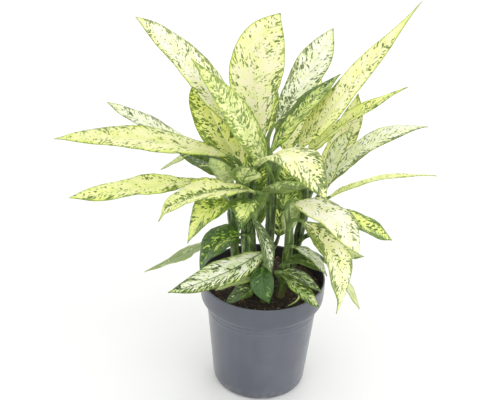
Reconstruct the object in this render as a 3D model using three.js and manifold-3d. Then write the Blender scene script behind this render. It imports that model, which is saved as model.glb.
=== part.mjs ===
// Potted dieffenbachia: a grey nursery pot filled with soil, eight shoots and their broad leaf blades.
//
// Millimetres, +Z up. The origin is the centre of the pot's foot, and -Y is the front.
// Each shoot is one piece: an upright cane with the leaf stalks that grow from it.
// Each blade is a piece of its own, seated on the end of its stalk.

import * as THREE from 'three';
import { mergeVertices } from 'three/addons/utils/BufferGeometryUtils.js';
import Module from 'manifold-3d';

const wasm = await Module();
wasm.setup();

// Driving dimensions of the pot
const POT_HEIGHT = 162;
const RIM_RADIUS = 84;
const SHOULDER_RADIUS = 75;
const FOOT_RADIUS = 60.5;
const BAND_HEIGHT = 33;
const WALL = 1.6;
const FLOOR_RISE = 3;
const POT_SIDES = 36;

// Driving dimensions of the soil, the shoots and the blades
const SOIL_TOP = 147;
const ROOT_DEPTH = 26;
const CLEARANCE = 0.3;
const CANE_SIDES = 8;
const SCAR_SPACING = 26;
const STALK_SIDES = 6;
const STALK_STEPS = 4;
const STALK_FOOT_RADIUS = 4.4;
const STALK_NECK_RADIUS = 2.1;
const BLADE_THICKNESS = 0.9;
const RIB_BASE = 2.2;
const RIB_TIP = 0.7;

const UP = new THREE.Vector3(0, 0, 1);
const { lerp, mapLinear, degToRad } = THREE.MathUtils;
const plant = new THREE.Group();

// ---------------------------------------------------------------- closed solids and their booleans

function toSolid(geometry) {
  const bare = geometry.clone();
  bare.deleteAttribute('normal');
  bare.deleteAttribute('uv');
  const merged = mergeVertices(bare, 1e-4);
  return new wasm.Manifold(new wasm.Mesh({
    numProp: 3,
    vertProperties: new Float32Array(merged.attributes.position.array),
    triVerts: new Uint32Array(merged.index.array),
  }));
}

function addPiece(name, solid, material) {
  const mesh = solid.getMesh();
  const geometry = new THREE.BufferGeometry();
  geometry.setAttribute('position', new THREE.BufferAttribute(mesh.vertProperties, 3));
  geometry.setIndex(new THREE.BufferAttribute(mesh.triVerts, 1));
  geometry.computeVertexNormals();
  const piece = new THREE.Mesh(geometry, material);
  piece.name = name;
  plant.add(piece);
}

// A closed solid through rings of points that turn the same way about the line they follow.
// From the point number twin on, the faces are split the other way, so that the two sides of a thin
// blade are split alike. Both ends are closed by strips across the ring.
function loft(rings, twin = Infinity) {
  const count = rings[0].length;
  const positions = [];
  const index = [];
  for (const ring of rings) {
    for (const point of ring) positions.push(point.x, point.y, point.z);
  }
  for (let i = 0; i < rings.length - 1; i += 1) {
    for (let j = 0; j < count; j += 1) {
      const a = i * count + j;
      const b = i * count + (j + 1) % count;
      if (j < twin) index.push(a, b, a + count, b, b + count, a + count);
      else index.push(a, b, b + count, a, b + count, a + count);
    }
  }
  const last = (rings.length - 1) * count;
  for (let j = 0; j < count / 2 - 1; j += 1) {
    const across = count - 1 - j;
    index.push(j, across, j + 1, j + 1, across, across - 1);
    index.push(last + j, last + j + 1, last + across);
    index.push(last + j + 1, last + across - 1, last + across);
  }
  const geometry = new THREE.BufferGeometry();
  geometry.setAttribute('position', new THREE.BufferAttribute(new Float32Array(positions), 3));
  geometry.setIndex(index);
  return toSolid(geometry);
}

// A profile of [radius, height] pairs turned about the vertical axis.
function turned(profile) {
  const outline = profile.map(([radius, height]) => new THREE.Vector2(radius, height));
  const geometry = new THREE.LatheGeometry(outline, POT_SIDES);
  geometry.rotateX(Math.PI / 2);
  return toSolid(geometry);
}

// ---------------------------------------------------------------- pot

const HOLE_COUNT = 8;
const HOLE_RADIUS = 4;
const HOLE_CIRCLE = 40;
const NOTCH_COUNT = 6;
const NOTCH_WIDTH = 10;
const NOTCH_DEPTH = 2;
const NOTCH_TURN = degToRad(-95);
const FLOOR_TOP = FLOOR_RISE + WALL;
const BAND_FOOT = POT_HEIGHT - BAND_HEIGHT;
const SHOULDER_HEIGHT = BAND_FOOT - 3;

// The side's outer radius at a height between the rounded foot and the shoulder.
function sideRadius(z) {
  return mapLinear(z, 10, SHOULDER_HEIGHT, FOOT_RADIUS + 3.4, SHOULDER_RADIUS);
}

// One faint raised ring round the side.
function raisedRing(z) {
  return [
    [sideRadius(z - 1.6), z - 1.6],
    [sideRadius(z) + 0.6, z],
    [sideRadius(z + 1.6), z + 1.6],
  ];
}

function potSolid() {
  let pot = turned([
    [0, 0],
    [13, 0],
    [15, FLOOR_RISE],
    [FOOT_RADIUS - 9, FLOOR_RISE],
    [FOOT_RADIUS - 7, 0],
    [FOOT_RADIUS - 2, 0],
    [FOOT_RADIUS + 1, 1.5],
    [FOOT_RADIUS + 2.6, 5],
    [sideRadius(10), 10],
    ...raisedRing(116),
    ...raisedRing(122),
    [SHOULDER_RADIUS, SHOULDER_HEIGHT],
    [RIM_RADIUS - 4.4, BAND_FOOT - 0.5],
    [RIM_RADIUS - 1.2, BAND_FOOT + 4],
    [RIM_RADIUS - 0.3, BAND_FOOT + 12],
    [RIM_RADIUS, POT_HEIGHT - 2],
    [RIM_RADIUS - 0.6, POT_HEIGHT],
    [RIM_RADIUS - 2, POT_HEIGHT],
    [RIM_RADIUS - 2.4, POT_HEIGHT - 2],
    [RIM_RADIUS - 3.6, BAND_FOOT + 4],
    [SHOULDER_RADIUS - WALL, SHOULDER_HEIGHT],
    [sideRadius(10) - WALL, 10],
    [FOOT_RADIUS - 2, FLOOR_TOP],
    [0, FLOOR_TOP],
  ]);
  for (let i = 0; i < HOLE_COUNT; i += 1) {
    const angle = (i / HOLE_COUNT) * 2 * Math.PI;
    const hole = new THREE.CylinderGeometry(HOLE_RADIUS, HOLE_RADIUS, 4 * FLOOR_TOP, 12);
    hole.rotateX(Math.PI / 2);
    hole.translate(HOLE_CIRCLE * Math.cos(angle), HOLE_CIRCLE * Math.sin(angle), 0);
    pot = pot.subtract(toSolid(hole));
  }
  for (let i = 0; i < NOTCH_COUNT; i += 1) {
    const notch = new THREE.BoxGeometry(24, NOTCH_WIDTH, 2 * NOTCH_DEPTH);
    notch.translate(FOOT_RADIUS, 0, 0);
    notch.rotateZ(NOTCH_TURN + (i / NOTCH_COUNT) * 2 * Math.PI);
    pot = pot.subtract(toSolid(notch));
  }
  return pot;
}

// ---------------------------------------------------------------- shoots: canes with their leaf stalks

// Where each cane leaves the soil, where it ends above, and its radius at the soil.
const SHOOTS = {
  left: { root: [-32, -4], top: [-46, -8, 268], radius: 7 },
  rear_left: { root: [-14, 22], top: [-24, 18, 298], radius: 7.5 },
  rear_right: { root: [7, 26], top: [5, 34, 310], radius: 7 },
  centre: { root: [4, -4], top: [8, -2, 300], radius: 8 },
  right: { root: [34, 8], top: [54, 12, 268], radius: 7 },
  front_left: { root: [-18, -28], top: [-26, -40, 248], radius: 6.5 },
  front_right: { root: [24, -26], top: [34, -36, 243], radius: 6.5 },
  front_low: { root: [2, -40], top: [3, -46, 196], radius: 5 },
};

// The centre of a cane at a height.
function caneCentre({ root, top }, z) {
  const share = (z - SOIL_TOP) / (top[2] - SOIL_TOP);
  return new THREE.Vector3(lerp(root[0], top[0], share), lerp(root[1], top[1], share), z);
}

// A ring of points about a centre, square to a direction.
function roundRing(centre, direction, radius, sides) {
  const side = new THREE.Vector3(0, 1, 0).cross(direction).normalize();
  const other = direction.clone().cross(side).normalize();
  const ring = [];
  for (let j = 0; j < sides; j += 1) {
    const angle = (j / sides) * 2 * Math.PI;
    ring.push(centre.clone()
      .addScaledVector(side, radius * Math.cos(angle))
      .addScaledVector(other, radius * Math.sin(angle)));
  }
  return ring;
}

// A cane from its foot in the soil to its tip, with a swelling at every leaf scar.
function caneSolid(shoot) {
  const foot = SOIL_TOP - ROOT_DEPTH;
  const height = shoot.top[2];
  const steps = Math.round((2 * (height - foot)) / SCAR_SPACING);
  const rings = [];
  for (let i = 0; i <= steps; i += 1) {
    const z = lerp(foot, height, i / steps);
    const taper = lerp(1, 0.72, i / steps);
    const swelling = i % 2 ? 1.07 : 0.97;
    const closing = i === steps ? 0.45 : 1;
    rings.push(roundRing(caneCentre(shoot, z), UP, shoot.radius * taper * swelling * closing, CANE_SIDES));
  }
  return loft(rings);
}

// The plain hole that a cane stands in.
function rootHole(shoot) {
  const radius = shoot.radius * 1.09 + CLEARANCE;
  const floor = caneCentre(shoot, SOIL_TOP - ROOT_DEPTH - CLEARANCE);
  const mouth = caneCentre(shoot, SOIL_TOP + 10);
  return loft([roundRing(floor, UP, radius, CANE_SIDES), roundRing(mouth, UP, radius, CANE_SIDES)]);
}

// A leaf stalk that leaves its cane upwards at a height and bends over into its blade.
function stalkSolid(leaf) {
  const foot = caneCentre(SHOOTS[leaf.shoot], leaf.from);
  const neck = leaf.base.clone().addScaledVector(midribDirection(leaf, 0), -CLEARANCE);
  const reach = foot.distanceTo(neck);
  const curve = new THREE.CubicBezierCurve3(
    foot,
    foot.clone().addScaledVector(UP, 0.45 * reach),
    neck.clone().addScaledVector(midribDirection(leaf, 0), -0.4 * reach),
    neck,
  );
  const rings = [];
  for (let i = 0; i <= STALK_STEPS; i += 1) {
    const share = i / STALK_STEPS;
    const radius = lerp(STALK_FOOT_RADIUS, STALK_NECK_RADIUS, share);
    rings.push(roundRing(curve.getPoint(share), curve.getTangent(share), radius, STALK_SIDES));
  }
  return loft(rings);
}

// ---------------------------------------------------------------- leaf blades

// Each blade's midrib runs through base, middle and tip, and its stalk leaves its shoot's cane at the
// height from. roll turns the blade about its midrib from lying with its upper side up, in degrees,
// clockwise as seen from its tip.
// LEAF_HABIT holds what a blade has where its row says nothing else: fold is the rise of each half
// from the midrib in degrees, widest the share of the length where it is broadest, blunt is lower
// for a rounder outline, and wave is the height of the edge's waves as a share of the half width.
// draw narrows the outline to a drawn-out point: by how much, and over which share of the length.
// hook bends the last fifth of the blade, in millimetres to its right and to its upper side.
const LEAF_HABIT = {
  roll: 0, fold: 16, arch: 0.2, widest: 0.45, blunt: 0.8, wave: 0.05, draw: [0.75, 0.08], hook: [0, 0],
};
const LEAVES = [
  // the crown
  { shoot: 'rear_left', from: 280, base: [-13, 2, 350], middle: [-95, -8, 455], tip: [-161, -20, 520],
    width: 65, roll: 22, widest: 0.38, tone: 'cream' },
  { shoot: 'centre', from: 275, base: [-4, -23, 343], middle: [-44, -34, 414], tip: [-95, -34, 477],
    width: 46, roll: 56, widest: 0.34, blunt: 1.05, tone: 'lime' },
  { shoot: 'left', from: 250, base: [-31, 3, 320], middle: [-71, 10, 386], tip: [-91, 20, 434],
    width: 64, roll: 39, widest: 0.5, blunt: 0.65, tone: 'lime' },
  { shoot: 'rear_right', from: 305, base: [-7, 25, 356], middle: [-21, 56, 435], tip: [7, 68, 505],
    width: 78, roll: 13, widest: 0.54, blunt: 0.72, tone: 'cream' },
  { shoot: 'rear_right', from: 290, base: [6, 30, 370], middle: [44, 60, 427], tip: [75, 85, 483],
    width: 54, roll: -7, widest: 0.56, blunt: 0.75, tone: 'white' },
  { shoot: 'centre', from: 290, base: [36, -12, 361], middle: [101, -14, 454], tip: [170, 0, 547],
    width: 56, roll: -26, widest: 0.35, blunt: 1.15, draw: [0.8, 0.2], tone: 'cream' },
  { shoot: 'centre', from: 298, base: [3, -5, 350], middle: [39, -2, 405], tip: [84, 20, 446],
    width: 52, roll: -21, tone: 'dark' },
  { shoot: 'right', from: 262, base: [48, 4, 339], middle: [98, 10, 388], tip: [168, 20, 433],
    width: 36, roll: -2, widest: 0.4, blunt: 0.7, fold: 26, wave: 0.12, draw: [0.85, 0.12], tone: 'lime' },
  { shoot: 'right', from: 240, base: [74, 46, 297], middle: [104, 60, 355], tip: [112, 66, 403],
    width: 46, roll: -13, widest: 0.35, tone: 'cream' },
  { shoot: 'right', from: 228, base: [75, -10, 304], middle: [84, -6, 348], tip: [104, 0, 383],
    width: 34, roll: -15, tone: 'white' },
  { shoot: 'right', from: 215, base: [74, 8, 295], middle: [128, 14, 357], tip: [199, 20, 381],
    width: 47, roll: -2, draw: [0.85, 0.14], tone: 'white' },
  { shoot: 'right', from: 205, base: [80, -14, 293], middle: [140, 0, 314], tip: [216, 8, 319],
    width: 32, roll: 20, tone: 'lime' },
  // the middle tier
  { shoot: 'front_left', from: 240, base: [-12, -45, 349], middle: [29, -88, 381], tip: [69, -118, 343],
    width: 66, roll: -3, widest: 0.5, blunt: 0.6, tone: 'cream' },
  { shoot: 'front_left', from: 230, base: [-31, -48, 323], middle: [-26, -54, 338], tip: [-19, -57, 351],
    width: 42, roll: -165, fold: 8, widest: 0.58, tone: 'cream' },
  { shoot: 'left', from: 258, base: [-51, -30, 352], middle: [-158, -36, 372], tip: [-260, -44, 371],
    width: 56, roll: 7, widest: 0.5, draw: [0.85, 0.12], tone: 'cream' },
  { shoot: 'left', from: 240, base: [-42, -8, 316], middle: [-78, -8, 332], tip: [-113, -14, 346],
    width: 46, roll: 10, tone: 'dark' },
  { shoot: 'left', from: 228, base: [-48, -38, 309], middle: [-57, -45, 337], tip: [-71, -47, 356],
    width: 34, roll: -5, widest: 0.55, blunt: 0.6, tone: 'dark' },
  { shoot: 'rear_left', from: 262, base: [-93, 15, 342], middle: [-154, 20, 368], tip: [-206, 25, 393],
    width: 40, roll: 2, widest: 0.5, tone: 'white' },
  { shoot: 'left', from: 205, base: [-76, -30, 316], middle: [-143, -40, 311], tip: [-245, -50, 294],
    width: 52, roll: 4, widest: 0.66, blunt: 0.65, wave: 0.1, draw: [0.85, 0.09], tone: 'lime' },
  { shoot: 'rear_left', from: 250, base: [-94, 30, 327], middle: [-118, 34, 312], tip: [-141, 38, 295],
    width: 20, roll: 4, tone: 'lime' },
  { shoot: 'front_left', from: 232, base: [-13, -55, 317], middle: [-72, -80, 325], tip: [-136, -88, 296],
    width: 60, roll: 2, widest: 0.62, blunt: 0.6, fold: 24, wave: 0.1, draw: [0.88, 0.13], hook: [0, -11],
    tone: 'cream' },
  { shoot: 'front_left', from: 222, base: [-44, -58, 303], middle: [-72, -78, 297], tip: [-94, -85, 257],
    width: 54, widest: 0.4, blunt: 0.95, fold: 22, draw: [0.85, 0.13], tone: 'lime' },
  { shoot: 'front_left', from: 205, base: [-15, -62, 311], middle: [-22, -92, 311], tip: [-32, -108, 288],
    width: 56, roll: -17, widest: 0.3, blunt: 1.25, fold: 28, draw: [0.85, 0.13], tone: 'lime' },
  { shoot: 'centre', from: 250, base: [-2, -18, 298], middle: [25, -34, 314], tip: [57, -40, 323],
    width: 30, roll: 43, tone: 'dark' },
  { shoot: 'front_right', from: 235, base: [38, -52, 305], middle: [84, -86, 300], tip: [114, -102, 264],
    width: 62, roll: 4, widest: 0.46, blunt: 0.6, tone: 'cream' },
  { shoot: 'right', from: 195, base: [90, -20, 276], middle: [132, -28, 258], tip: [163, -30, 243],
    width: 41, roll: -4, fold: 22, draw: [0.85, 0.12], tone: 'dark' },
  { shoot: 'front_right', from: 195, base: [31, -20, 239], middle: [34, -18, 268], tip: [37, -16, 293],
    width: 38, roll: 75, tone: 'dark' },
  // the skirt over the rim
  { shoot: 'front_left', from: 190, base: [-33, -46, 250], middle: [-66, -53, 233], tip: [-80, -60, 198],
    width: 57, roll: 8, widest: 0.32, blunt: 1, fold: 22, draw: [0.88, 0.15], tone: 'dark' },
  { shoot: 'rear_left', from: 175, base: [-68, 25, 199], middle: [-116, 36, 163], tip: [-166, 42, 132],
    width: 34, roll: 8, widest: 0.35, blunt: 1, wave: 0.1, draw: [0.85, 0.15], tone: 'dark' },
  { shoot: 'front_low', from: 190, base: [-2, -66, 238], middle: [-52, -108, 228], tip: [-113, -132, 215],
    width: 51, blunt: 0.9, tone: 'white' },
  { shoot: 'front_left', from: 165, base: [-9, -50, 189], middle: [-34, -60, 188], tip: [-60, -63, 176],
    width: 24, roll: -12, tone: 'dark' },
  { shoot: 'front_low', from: 158, base: [-11, -48, 174], middle: [-27, -58, 171], tip: [-47, -61, 156],
    width: 36, roll: -7, tone: 'dark' },
  { shoot: 'front_low', from: 180, base: [0, -54, 209], middle: [0, -68, 192], tip: [10, -70, 164],
    width: 32, blunt: 0.75, draw: [0.85, 0.12], tone: 'dark' },
  { shoot: 'front_left', from: 210, base: [-15, -60, 284], middle: [1, -72, 254], tip: [11, -76, 214],
    width: 38, roll: 18, widest: 0.62, tone: 'white' },
  { shoot: 'front_right', from: 165, base: [25, -56, 204], middle: [49, -56, 197], tip: [77, -62, 179],
    width: 34, roll: 3, tone: 'dark' },
  { shoot: 'front_right', from: 172, base: [32, -64, 198], middle: [52, -78, 189], tip: [73, -87, 173],
    width: 32, roll: 12, tone: 'dark' },
  { shoot: 'front_right', from: 160, base: [43, -60, 183], middle: [48, -62, 170], tip: [34, -66, 159],
    width: 9, tone: 'lime' },
  { shoot: 'front_right', from: 215, base: [47, -55, 278], middle: [88, -88, 249], tip: [98, -100, 178],
    width: 56, roll: 6, widest: 0.5, blunt: 0.7, wave: 0.08, draw: [0.8, 0.12], hook: [8, 0], tone: 'cream' },
  { shoot: 'right', from: 180, base: [90, -35, 200], middle: [111, -45, 177], tip: [128, -52, 150],
    width: 30, roll: 16, tone: 'dark' },
  { shoot: 'front_right', from: 198, base: [40, -48, 237], middle: [63, -58, 228], tip: [81, -66, 207],
    width: 34, roll: 14, tone: 'white' },
  { shoot: 'front_right', from: 185, base: [26, -46, 210], middle: [49, -56, 224], tip: [78, -62, 209],
    width: 38, tone: 'dark' },
  { shoot: 'right', from: 190, base: [89, -30, 234], middle: [109, -36, 223], tip: [128, -40, 223],
    width: 30, roll: 12, tone: 'dark' },
  // the back
  { shoot: 'rear_right', from: 270, base: [22, 62, 320], middle: [40, 118, 372], tip: [56, 188, 396],
    width: 60, tone: 'cream' },
  { shoot: 'rear_left', from: 240, base: [-34, 52, 300], middle: [-60, 108, 336], tip: [-92, 168, 340],
    width: 58, tone: 'lime' },
  { shoot: 'rear_right', from: 185, base: [-10, 84, 192], middle: [-18, 114, 258], tip: [-24, 140, 318],
    width: 48, tone: 'dark' },
  { shoot: 'right', from: 250, base: [62, 52, 280], middle: [82, 92, 290], tip: [86, 130, 276],
    width: 46, tone: 'cream' },
  { shoot: 'rear_right', from: 170, base: [19, 56, 192], middle: [27, 84, 262], tip: [33, 104, 300],
    width: 58, tone: 'dark' },
  { shoot: 'rear_left', from: 200, base: [-40, 50, 236], middle: [-74, 82, 232], tip: [-100, 110, 200],
    width: 48, tone: 'dark' },
  { shoot: 'rear_right', from: 280, base: [-8, 60, 345], middle: [-16, 98, 384], tip: [-20, 140, 404],
    width: 54, tone: 'lime' },
  { shoot: 'right', from: 212, base: [66, 46, 240], middle: [94, 74, 226], tip: [114, 98, 196],
    width: 44, tone: 'dark' },
].map((row) => ({
  ...LEAF_HABIT,
  ...row,
  base: new THREE.Vector3(...row.base),
  middle: new THREE.Vector3(...row.middle),
  tip: new THREE.Vector3(...row.tip),
}));

// Shares of the length at which a blade's outline has its points: long blades, then short ones.
const LONG_STATIONS = [0, 0.09, 0.24, 0.42, 0.6, 0.76, 0.9, 1];
const SHORT_STATIONS = [0, 0.15, 0.35, 0.6, 0.83, 1];
const SHORT_BLADE = 75;

function midribPoint({ base, middle, tip }, t) {
  return new THREE.Vector3()
    .addScaledVector(base, (1 - t) * (1 - 2 * t))
    .addScaledVector(middle, 4 * t * (1 - t))
    .addScaledVector(tip, t * (2 * t - 1));
}

function midribDirection({ base, middle, tip }, t) {
  return new THREE.Vector3()
    .addScaledVector(base, 4 * t - 3)
    .addScaledVector(middle, 4 - 8 * t)
    .addScaledVector(tip, 4 * t - 1)
    .normalize();
}

// The blade's half width at a share of its length, drawn out to a narrow point at the tip.
function halfWidth({ width, widest, blunt, draw }, t) {
  const rib = lerp(RIB_BASE, RIB_TIP, t);
  if (t <= 0 || t >= 1) return rib;
  const rise = (t / widest) ** ((blunt * widest) / (1 - widest));
  const fall = ((1 - t) / (1 - widest)) ** blunt;
  const [amount, reach] = draw;
  const drawnOut = 1 - amount * Math.exp(-(1 - t) / reach);
  return rib + (width / 2 - rib) * rise * fall * drawnOut;
}

// One ring of a blade: five points over its upper side, then five back along its lower side.
function bladeRing(leaf, t, upper) {
  const centre = midribPoint(leaf, t);
  const along = midribDirection(leaf, t);
  const normal = upper.clone().applyAxisAngle(along, -degToRad(leaf.roll));
  const side = along.clone().cross(normal);
  const bend = THREE.MathUtils.smoothstep(t, 0.8, 1) ** 2;
  centre.addScaledVector(side, leaf.hook[0] * bend).addScaledVector(normal, leaf.hook[1] * bend);
  const half = halfWidth(leaf, t);
  const fold = degToRad(leaf.fold);
  const open = Math.min(1, t / 0.1);
  const onBlade = (u, offset) => {
    const reach = Math.abs(u);
    const shift = u > 0 ? 1.7 : 0;
    const ripple = leaf.wave * reach ** 3 * Math.sin(4 * Math.PI * t + shift);
    const rise = half * open * (reach * Math.sin(fold) - leaf.arch * u * u + ripple);
    return centre.clone()
      .addScaledVector(side, half * u * Math.cos(fold))
      .addScaledVector(normal, rise + offset);
  };
  const skin = BLADE_THICKNESS / 2;
  const rib = lerp(RIB_BASE, RIB_TIP, t);
  return [
    onBlade(-1, skin), onBlade(-0.5, skin), onBlade(0, skin), onBlade(0.5, skin), onBlade(1, skin),
    onBlade(1, -skin), onBlade(0.5, -skin), onBlade(0, -skin - rib), onBlade(-0.5, -skin), onBlade(-1, -skin),
  ];
}

function bladeSolid(leaf) {
  const length = leaf.base.distanceTo(leaf.middle) + leaf.middle.distanceTo(leaf.tip);
  const stations = length < SHORT_BLADE ? SHORT_STATIONS : LONG_STATIONS;
  const upper = UP.clone();
  const rings = stations.map((t) => {
    const along = midribDirection(leaf, t);
    upper.addScaledVector(along, -upper.dot(along)).normalize();
    return bladeRing(leaf, t, upper);
  });
  return loft(rings, 5);
}

// ---------------------------------------------------------------- soil

// A plug that fills the pot up to a gently uneven top, with a hole for each cane.
function soilSolid() {
  const gap = CLEARANCE + WALL;
  const edge = RIM_RADIUS - 3.6 - 2 * CLEARANCE;
  let soil = turned([
    [0, FLOOR_TOP + CLEARANCE],
    [FOOT_RADIUS - 2.6, FLOOR_TOP + CLEARANCE],
    [sideRadius(10) - gap, 10.4],
    [SHOULDER_RADIUS - gap, SHOULDER_HEIGHT + 0.2],
    [edge, BAND_FOOT + 4.6],
    [edge, SOIL_TOP - 3],
    [0.82 * edge, SOIL_TOP + 0.4],
    [0.6 * edge, SOIL_TOP - 0.8],
    [0.35 * edge, SOIL_TOP + 1],
    [0, SOIL_TOP + 0.4],
  ]);
  for (const shoot of Object.values(SHOOTS)) soil = soil.subtract(rootHole(shoot));
  return soil;
}

// ---------------------------------------------------------------- the whole plant

function plainMaterial(color, roughness) {
  return new THREE.MeshStandardMaterial({ color, roughness, metalness: 0 });
}

const leafMaterials = {
  cream: plainMaterial(0xeeedb4, 0.5),
  lime: plainMaterial(0xc9d66a, 0.5),
  white: plainMaterial(0xdfe8cc, 0.5),
  dark: plainMaterial(0x5e8a3a, 0.5),
};

addPiece('pot', potSolid(), plainMaterial(0x6c7280, 0.5));
addPiece('soil', soilSolid(), plainMaterial(0x2a221d, 0.95));

const shootMaterial = plainMaterial(0x4f7a2c, 0.55);
for (const [name, shoot] of Object.entries(SHOOTS)) {
  let solid = caneSolid(shoot);
  for (const leaf of LEAVES) {
    if (leaf.shoot === name) solid = solid.add(stalkSolid(leaf));
  }
  addPiece(`shoot_${name}`, solid, shootMaterial);
}

LEAVES.forEach((leaf, i) => {
  addPiece(`leaf_${String(i + 1).padStart(2, '0')}`, bladeSolid(leaf), leafMaterials[leaf.tone]);
});

export default plant;
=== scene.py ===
"""Potted dieffenbachia: fine shapes, materials, floor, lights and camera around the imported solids."""

import math
import random

import bmesh
import bpy
import numpy as np
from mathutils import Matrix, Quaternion, Vector, noise


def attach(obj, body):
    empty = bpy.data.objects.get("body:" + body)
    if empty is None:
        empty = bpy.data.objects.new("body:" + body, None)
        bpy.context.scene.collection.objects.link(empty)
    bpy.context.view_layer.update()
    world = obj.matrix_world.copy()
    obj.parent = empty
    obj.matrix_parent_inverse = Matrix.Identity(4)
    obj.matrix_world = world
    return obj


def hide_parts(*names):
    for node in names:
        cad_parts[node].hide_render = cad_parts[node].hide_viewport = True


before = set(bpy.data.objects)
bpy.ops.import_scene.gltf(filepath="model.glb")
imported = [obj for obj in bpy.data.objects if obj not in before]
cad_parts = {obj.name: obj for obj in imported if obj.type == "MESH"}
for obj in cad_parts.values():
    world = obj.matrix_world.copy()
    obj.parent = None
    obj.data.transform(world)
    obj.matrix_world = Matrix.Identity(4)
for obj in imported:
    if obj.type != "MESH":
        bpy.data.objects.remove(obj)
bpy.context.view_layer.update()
MM = 0.001
UP = np.array([0.0, 0.0, 1.0])


# ---------------------------------------------------------------- small helpers

def linear(red, green, blue):
    """A display colour given from 0 to 255, as the linear one that shaders take."""
    def one(value):
        share = value / 255
        return share / 12.92 if share <= 0.04045 else ((share + 0.055) / 1.055) ** 2.4
    return (one(red), one(green), one(blue), 1.0)


def lerp(a, b, share):
    return a + (b - a) * share


def smooth(low, high, value):
    share = np.clip((value - low) / (high - low), 0, 1)
    return share * share * (3 - 2 * share)


def on_circle(radius, angle, z=0.0):
    return radius * math.cos(angle), radius * math.sin(angle), z


def tube_faces(rings, sides):
    """Faces between rings of points, and from the end rings to two middle points that come after them."""
    faces = []
    for i in range(rings - 1):
        a, b = i * sides, (i + 1) * sides
        for j in range(sides):
            k = (j + 1) % sides
            faces.append((a + j, a + k, b + k, b + j))
    start, last = rings * sides, (rings - 1) * sides
    end = start + 1
    for j in range(sides):
        k = (j + 1) % sides
        faces += [(start, k, j), (end, last + j, last + k)]
    return faces


class Graph:
    """Adds nodes to a tree and links them; an input takes a value or another node's output."""

    def __init__(self, tree):
        self.tree = tree

    def add(self, kind, inputs=None, output=0, **settings):
        node = self.tree.nodes.new(kind)
        for key, value in settings.items():
            setattr(node, key, value)
        for key, value in (inputs or {}).items():
            if isinstance(value, bpy.types.NodeSocket):
                self.tree.links.new(value, node.inputs[key])
            else:
                node.inputs[key].default_value = value
        return node.outputs[output]

    def math(self, operation, a, b=0.0, clamp=False):
        return self.add("ShaderNodeMath", {0: a, 1: b}, operation=operation, use_clamp=clamp)

    def plus(self, a, b):
        return self.math("ADD", a, b)

    def minus(self, a, b):
        return self.math("SUBTRACT", a, b)

    def times(self, a, b):
        return self.math("MULTIPLY", a, b)

    def mix(self, share, a, b):
        return self.add("ShaderNodeMix", {0: share, 6: a, 7: b}, 2, data_type="RGBA")

    def tinted(self, color, mask, share, other):
        """The colour, with that share of the other one where the mask is 1."""
        return self.mix(self.times(mask, share), color, other)

    def step(self, value, low, high):
        """0 at low, 1 at high, and smooth between; low may be the larger one."""
        return self.add("ShaderNodeMapRange", {0: value, 1: low, 2: high}, interpolation_type="SMOOTHSTEP")

    def fade(self, value, low, high):
        """1 below low, 0 above high, and smooth between."""
        return self.minus(1.0, self.step(value, low, high))

    def scaled(self, vector, *scale):
        return self.add("ShaderNodeVectorMath", {0: vector, 1: scale}, operation="MULTIPLY")

    def noise(self, vector, scale=1.0, detail=2.0, roughness=0.5, distortion=0.0):
        return self.add("ShaderNodeTexNoise", {"Vector": vector, "Scale": scale, "Detail": detail,
                                               "Roughness": roughness, "Distortion": distortion})

    def point(self):
        """The shaded point, in the object's own coordinates."""
        return self.add("ShaderNodeTexCoord", output=3)

    def parts(self, vector):
        """The three parts of a vector."""
        node = self.tree.nodes.new("ShaderNodeSeparateXYZ")
        self.tree.links.new(vector, node.inputs[0])
        return node.outputs[0], node.outputs[1], node.outputs[2]

    def attribute(self, name):
        return self.add("ShaderNodeAttribute", output=1, attribute_name=name)

    def bump(self, height, distance, strength):
        return self.add("ShaderNodeBump", {"Height": height, "Distance": distance, "Strength": strength})

    def surface(self, color, roughness, normal=None, **plain):
        """The shader; plain values go straight on its sockets, with _ for each space in a name."""
        inputs = {"Base Color": color, "Roughness": roughness}
        if normal is not None:
            inputs["Normal"] = normal
        for key, value in plain.items():
            inputs[key.replace("_", " ")] = value
        shader = self.add("ShaderNodeBsdfPrincipled", inputs)
        output = self.tree.nodes.new("ShaderNodeOutputMaterial")
        self.tree.links.new(shader, output.inputs["Surface"])


def new_material(name):
    material = bpy.data.materials.new(name)
    material.use_nodes = True
    material.node_tree.nodes.clear()
    return material, Graph(material.node_tree)


def linked(name, data):
    """A new object with that data, in the scene."""
    obj = bpy.data.objects.new(name, data)
    bpy.context.scene.collection.objects.link(obj)
    return obj


def new_object(name, vertices, faces, material, sharp_angle=50):
    """A smooth mesh, with an edge kept sharp where its faces meet at more than that many degrees."""
    mesh = bpy.data.meshes.new(name)
    mesh.from_pydata([tuple(v) for v in vertices], [], faces)
    mesh.polygons.foreach_set("use_smooth", [True] * len(mesh.polygons))
    mesh.set_sharp_from_angle(angle=math.radians(sharp_angle))
    mesh.materials.append(material)
    return linked(name, mesh)


def place(obj, slot, *nodes):
    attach(obj, "root")
    if nodes:
        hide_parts(*nodes)


# ---------------------------------------------------------------- camera, lights and floor (metres)

FLOOR_RADIUS = 5
FLOOR_SIDES = 96


def aim(obj, target, roll=0.0):
    direction = Vector(target) - obj.location
    obj.rotation_mode = "QUATERNION"
    turn = Quaternion((0, 0, 1), math.radians(roll))
    obj.rotation_quaternion = direction.to_track_quat("-Z", "Y") @ turn


def make_camera():
    """The photograph's camera, found from the ellipses of the pot."""
    data = bpy.data.cameras.new("camera")
    data.sensor_width = 36
    data.lens = 70.34
    camera = linked("camera", data)
    camera.location = (0, -1.1143, 0.8695)
    aim(camera, (-0.021, 0, 0.276), roll=2.1)
    bpy.context.scene.camera = camera


def make_light(name, location, target, size, power):
    data = bpy.data.lights.new(name, "AREA")
    data.shape = "DISK"
    data.size = size
    data.energy = power
    light = linked(name, data)
    light.location = location
    aim(light, target)


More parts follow.
